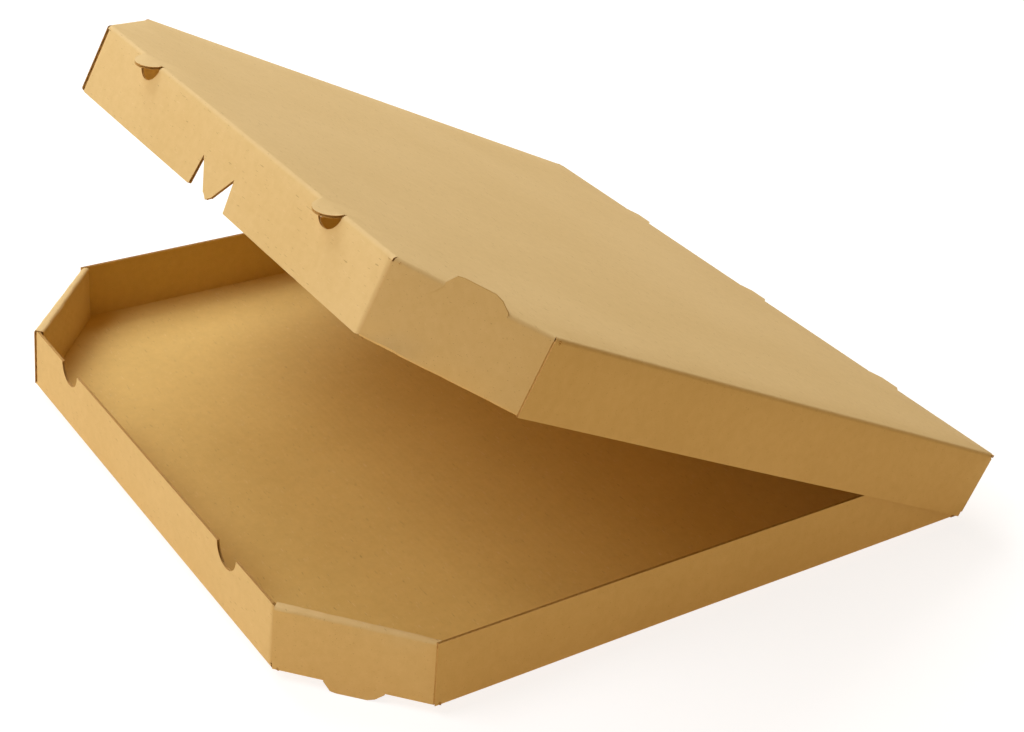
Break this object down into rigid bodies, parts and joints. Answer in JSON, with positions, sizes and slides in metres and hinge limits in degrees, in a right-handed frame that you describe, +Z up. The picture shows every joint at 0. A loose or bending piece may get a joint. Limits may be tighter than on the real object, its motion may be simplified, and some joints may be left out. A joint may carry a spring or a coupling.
{
  "type": "pizza box",
  "caption": "Shallow folding take-away box of kraft corrugated board with cut front corners, vents and a hinged lid that stands part open.",
  "frame": {"origin": "middle of the underside of the tray's floor, half-way between its front wall and the rear crease", "axes": "+X to the right seen from the front, -Y to the front, +Z up"},
  "size_m": [0.3306, 0.3283, 0.1729],
  "materials": {
    "kraft_board": "matte"
  },
  "bodies": {
    "tray": {"base_tray": "kraft_board"},
    "lid": {"lid": "kraft_board"}
  },
  "joints": [
    {"name": "lid_hinge", "type": "hinge", "parent": "tray", "child": "lid", "pos_m": [0, 0.1555, 0], "axis": [-1, 0, 0], "range_deg": [-26, 64]}
  ]
}
